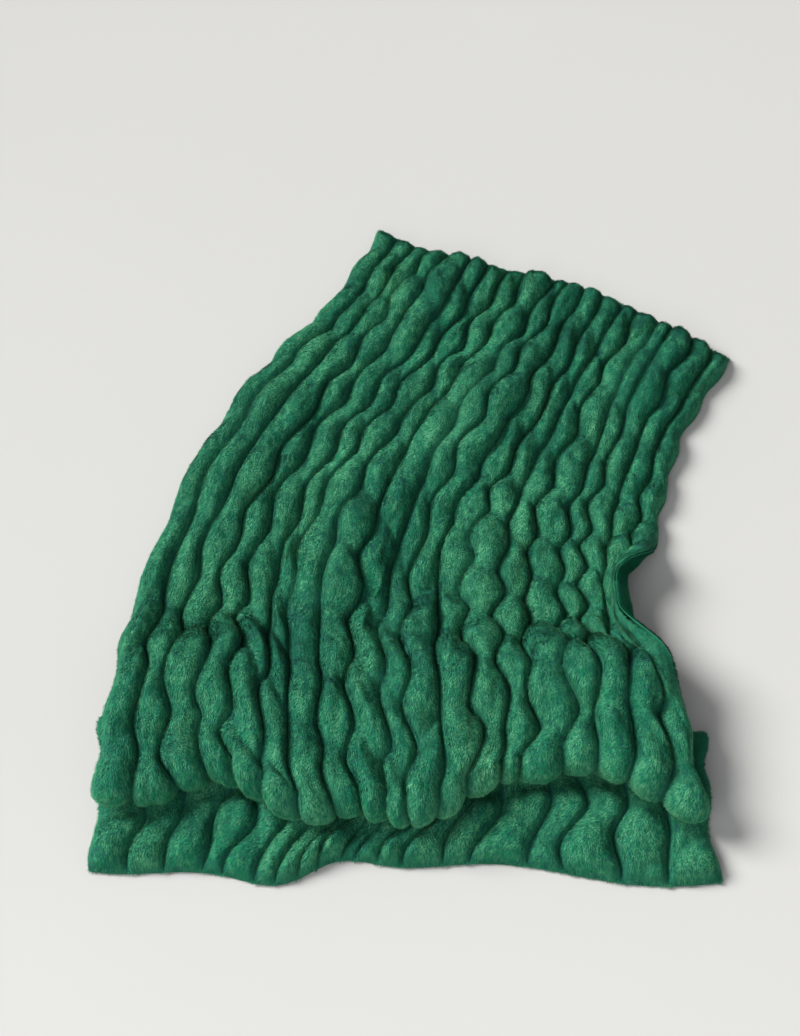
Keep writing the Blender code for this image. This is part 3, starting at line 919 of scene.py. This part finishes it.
def add_pile(name, surface, crown, wanted, count, seed, kind):
    """Blades of pile on a surface, leaning towards the near hem with soft turns in their lie.

    kind holds the blades' length, width, lean and stray, and their material; its slot is not used.
    """
    place, normal, across_cloth, along_cloth = surface
    draw = np.random.default_rng(seed)
    blend, up, across, along = pick_places(place, normal, wanted, count, draw)
    root = blend(place)
    stray = kind["stray"]
    turn = LIE_CHANGE * smooth_noise(root, "lie of the pile") + stray * draw.normal(size=count)
    outward = RIM_PULL * blend(rim_way(across_cloth, along_cloth))
    lie_along = (outward[:, 1] - np.cos(turn))[:, None] * along
    lie_across = (outward[:, 0] + np.sin(turn))[:, None] * across
    lie = unit(lie_along + lie_across)
    lie = unit(lie - (lie * up).sum(axis=1, keepdims=True) * up)
    at_rim = np.clip(np.linalg.norm(outward, axis=1) / RIM_PULL, 0.0, 1.0)
    tilt = kind["lean"] + TILT_STRAY * stray * draw.normal(size=count)
    tilt = tilt + TILT_CHANGE * smooth_noise(root, "tilt of the pile")
    droop = RIM_DROOP * at_rim * draw.uniform(*DROOPS, count)
    tilt = np.clip(tilt + droop, LEAST_TILT, MOST_TILT + RIM_DROOP * at_rim)
    long = kind["length"] * draw.uniform(*LENGTHS, count)
    long = long * (1.0 + LENGTH_CHANGE * smooth_noise(root, "length of the pile"))
    way = np.cos(tilt)[:, None] * up + np.sin(tilt)[:, None] * lie
    spin = SPIN_STRAY * draw.normal(size=count)
    side = unit(np.cross(up, way))
    side = np.cos(spin)[:, None] * side + np.sin(spin)[:, None] * np.cross(way, side)
    half = 0.5 * kind["width"] * draw.uniform(*WIDTHS, count)
    lit = unit(up + LIT_LEAN * lie + LIT_STRAY * draw.normal(size=(count, 3)))
    tone = np.clip(TONE + TONE_STRAY * draw.normal(size=count), 0.0, 1.0)
    tip = root + long[:, None] * way
    piece = blade_mesh(name, root - ROOT_DEPTH * up, tip, half[:, None] * side, lit, tone, blend(crown))
    piece.data.materials.append(kind["material"])
    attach(piece, "root")
    return piece


def add_face_pile(pile, colours):
    """The long pile of the puffs, in meshes of equal size that all grow over the whole face."""
    place, normal, across, along, height = face_surface()
    rim = np.linalg.norm(rim_way(across, along), axis=-1)
    # Crown mask of the painted light: 1 on the puffs' crowns, 0 down in the valleys, at least RIM_CROWN at
    # the rim
    crown = np.maximum(ease(height / (CROWN_AT * PUFF_HEIGHT)), RIM_CROWN * np.clip(rim, 0.0, 1.0))
    inner_start, _, nose_start, _ = hem_marks(across)
    _, _, overlap, _ = hem_sizes(across)
    hidden = (along > inner_start - overlap + HIDDEN_AFTER) & (along < nose_start - HIDDEN_BEFORE)
    wanted = np.where(hidden, 0.0, 1.0) + RIM_EXTRA * rim
    kind = {
        "length": pile.length, "width": pile.width, "lean": pile.lean, "stray": pile.stray,
        "material": pile_material("Long pile", colours.shade_and_mottle, colours.body, colours.light, FACE_PILE_SHEEN),
        "slot": "ruched_plush",
    }
    surface = (place, normal, across, along)
    return [
        add_pile(f"face_pile_{n + 1}", surface, crown, wanted, BLADES_IN_MESH, PILE_SEED + n, kind)
        for n in range(FACE_PILE_MESHES)
    ]


def add_reverse_pile(pile, colours):
    """The short pile of the reverse, where its turned edge and its sides show it."""
    place, normal, across, along = reverse_surface()
    lifted = ease((place[..., 2] - LIFT_START) / LIFT_EASE)
    from_right = right_edge(along) - across
    in_curl = (from_right < CURL_SHOWN * CURL_WIDTH) & (np.abs(along - CURL_MIDDLE) < CURL_REACH)
    at_side = np.minimum(across - across[:, :1], across[:, -1:] - across) < SHOWN_EDGE
    side_share = np.where(at_side & ~in_curl, AT_SIDE_SHARE, 0.0)
    wanted = lifted * (np.where(in_curl, 1.0, 0.0) + side_share + HIDDEN_SHARE)
    mottled = MOTTLED_LIGHT + MOTTLED_CHANGE * smooth_noise(place, "mottled reverse")
    # The darker green is painted shade at the short pile's roots and the dark end of its random mottle
    shade_and_mottle = [REVERSE_DEEP * c for c in colours.reverse]
    light = [REVERSE_LIGHT * c for c in colours.reverse]
    kind = {
        "length": pile.reverse_length,
        "width": REVERSE_PILE["width"] * pile.width,
        "lean": REVERSE_PILE["lean"] * pile.lean,
        "stray": REVERSE_PILE["stray"] * pile.stray,
        "material": pile_material("Short pile", shade_and_mottle, colours.reverse, light, REVERSE_PILE_SHEEN),
        "slot": "smooth_plush",
    }
    surface = (place, -normal, across, along)
    return add_pile("reverse_pile", surface, mottled, wanted, REVERSE_BLADES, REVERSE_PILE_SEED, kind)


class THROW_OT_pile(bpy.types.Operator):
    """Grows the pile on the face and the reverse as short pointed blades"""
    bl_idname = "throw.pile"
    bl_label = "Pile"

    def execute(self, context):
        pile, colours = context.scene.throw_pile, context.scene.throw_colours
        face_pile = add_face_pile(pile, colours)
        reverse_pile = add_reverse_pile(pile, colours)
        return {"FINISHED"}


class THROW_OT_stage(bpy.types.Operator):
    """Adds the pale floor, the soft lights and the camera above the throw"""
    bl_idname = "throw.stage"
    bl_label = "Stage"

    def execute(self, context):
        stage, colours = context.scene.throw_stage, context.scene.throw_colours
        self.add_floor(context, colours)
        for row in LIGHTS:
            self.add_light(context, row, getattr(stage, row["name"]))
        self.add_sky(context, stage)
        self.add_camera(context, stage)
        context.scene.view_settings.view_transform = "Standard"
        return {"FINISHED"}

    def add_floor(self, context, colours):
        deselect()
        bpy.ops.mesh.primitive_circle_add(
            vertices=FLOOR_SIDES, radius=FLOOR_RADIUS, fill_type="NGON", location=(0, 0, -FLOOR_DROP))
        floor = context.object
        floor.name = floor.data.name = "floor"
        material, nodes, links, shader = new_material("Pale floor")
        place, mottle = nodes.new("ShaderNodeTexCoord"), nodes.new("ShaderNodeTexNoise")
        mottle.inputs["Scale"].default_value = FLOOR_MOTTLE["scale"]
        mottle.inputs["Detail"].default_value = FLOOR_MOTTLE["detail"]
        links.new(place.outputs["Object"], mottle.inputs["Vector"])
        darker = [FLOOR_MOTTLE["darkest"] * c for c in colours.floor]
        pale = mix_colours(nodes, links, mottle.outputs["Fac"], darker, colours.floor)
        links.new(pale, shader.inputs["Base Color"])
        shader.inputs["Roughness"].default_value = 1.0
        shader.inputs["Specular IOR Level"].default_value = 0.0
        floor.data.materials.append(material)

    def add_sky(self, context, stage):
        """Even light all round, weaker from above."""
        world = bpy.data.worlds.new("Even light")
        world.use_nodes = True
        nodes, links = world.node_tree.nodes, world.node_tree.links
        nodes["Background"].inputs["Color"].default_value = (*SKY_COLOUR, 1.0)
        place, parts = nodes.new("ShaderNodeTexCoord"), nodes.new("ShaderNodeSeparateXYZ")
        fade = nodes.new("ShaderNodeMapRange")
        fade.interpolation_type = "SMOOTHSTEP"
        fade.inputs["From Min"].default_value, fade.inputs["From Max"].default_value = SKY_FADE
        fade.inputs["To Min"].default_value = stage.horizon
        fade.inputs["To Max"].default_value = stage.sky
        links.new(place.outputs["Generated"], parts.inputs["Vector"])
        links.new(parts.outputs["Z"], fade.inputs["Value"])
        links.new(fade.outputs["Result"], nodes["Background"].inputs["Strength"])
        context.scene.world = world

    def add_light(self, context, row, power):
        """A light aimed at the middle of the throw; a sun's size is an angle, another's is in metres."""
        light = bpy.data.lights.new(row["name"], row["kind"])
        light.energy, light.color = power, row["colour"]
        if row["kind"] == "SUN":
            light.angle = row["size"]
        else:
            light.size = row["size"]
        lamp = bpy.data.objects.new(row["name"], light)
        lamp.location = row["place"]
        lamp.rotation_mode = "QUATERNION"
        lamp.rotation_quaternion = (-Vector(row["place"])).to_track_quat("-Z", "Y")
        context.scene.collection.objects.link(lamp)

    def add_camera(self, context, stage):
        camera = bpy.data.objects.new("camera", bpy.data.cameras.new("camera"))
        camera.data.lens = stage.lens
        back = Vector((0.0, -math.cos(stage.elevation), math.sin(stage.elevation)))
        camera.location = Vector(stage.aim) + back * stage.distance
        camera.rotation_mode = "QUATERNION"
        camera.rotation_quaternion = (-back).to_track_quat("-Z", "Y")
        context.scene.collection.objects.link(camera)
        context.scene.camera = camera


class VIEW3D_PT_throw(bpy.types.Panel):
    bl_label = "Throw"
    bl_space_type = "VIEW_3D"
    bl_region_type = "UI"
    bl_category = "Throw"

    def draw(self, context):
        for group in ("throw_pile", "throw_colours", "throw_stage"):
            settings = getattr(context.scene, group)
            box = self.layout.box()
            for name in settings.__annotations__:
                box.prop(settings, name)
        for operator in OPERATORS:
            self.layout.operator(operator.bl_idname)


OPERATORS = (THROW_OT_reverse, THROW_OT_face, THROW_OT_pile, THROW_OT_stage)
GROUPS = {"throw_pile": ThrowPile, "throw_colours": ThrowColours, "throw_stage": ThrowStage}


def register():
    for kind in (*GROUPS.values(), *OPERATORS, VIEW3D_PT_throw):
        bpy.utils.register_class(kind)
    for name, group in GROUPS.items():
        setattr(bpy.types.Scene, name, bpy.props.PointerProperty(type=group))


def unregister():
    for name in GROUPS:
        delattr(bpy.types.Scene, name)
    for kind in (VIEW3D_PT_throw, *reversed(OPERATORS), *GROUPS.values()):
        bpy.utils.unregister_class(kind)


def main():
    register()
    deselect()
    bpy.ops.throw.reverse()
    bpy.ops.throw.face()
    bpy.ops.throw.pile()
    bpy.ops.throw.stage()
    bpy.context.view_layer.update()


if __name__ == "__main__":
    main()
